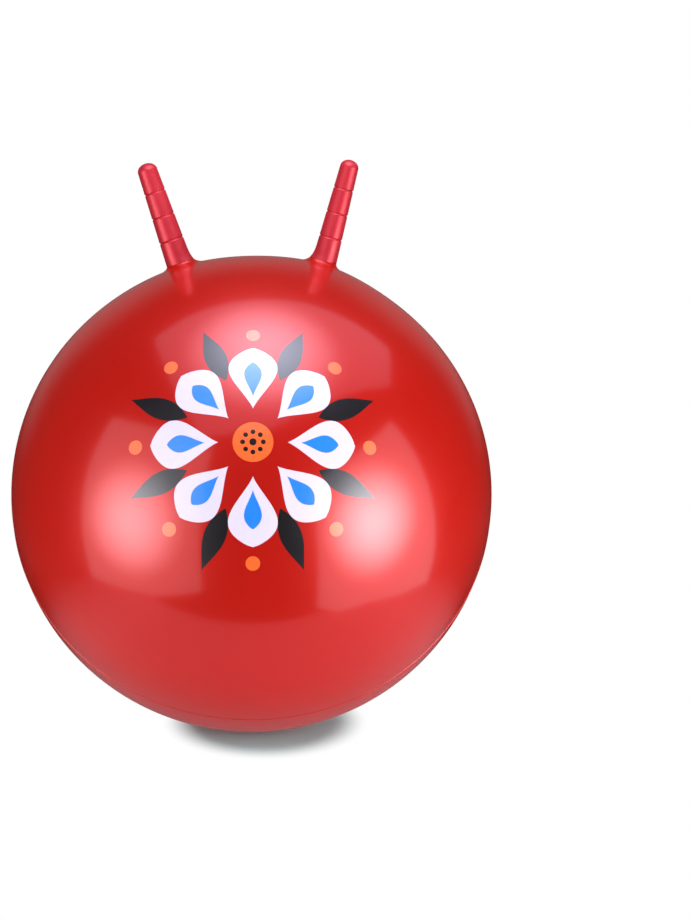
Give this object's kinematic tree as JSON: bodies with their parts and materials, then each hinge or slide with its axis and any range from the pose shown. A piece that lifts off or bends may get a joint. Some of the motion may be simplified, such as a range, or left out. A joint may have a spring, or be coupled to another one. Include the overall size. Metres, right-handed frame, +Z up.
{
  "type": "hopper ball",
  "caption": "Inflatable ride-on hopper ball with a glossy red skin, grooved hollow horns to hold and a push-in valve plug at the back.",
  "frame": {"origin": "middle of the flat patch that the floor presses into the underside", "axes": "+Z up, -Y towards the printed front, horns leaning towards -X and +X, valve at the back towards +Y"},
  "size_m": [0.45, 0.45, 0.5335],
  "materials": {
    "ball_skin": "glossy soft PVC, pearl red",
    "left_horn": "satin soft PVC",
    "right_horn": "satin soft PVC",
    "valve_seat": "soft PVC, moulded",
    "valve_plug": "milky white PVC, moulded"
  },
  "bodies": {
    "ball": {"ball_skin": "ball_skin", "left_horn": "left_horn", "right_horn": "right_horn", "valve_seat": "valve_seat"},
    "plug": {"valve_plug": "valve_plug"}
  },
  "joints": [
    {"name": "plug_pull", "type": "slide", "parent": "ball", "child": "plug", "axis": [0, 0.9397, 0.342], "range_m": [0, 0.025]}
  ]
}
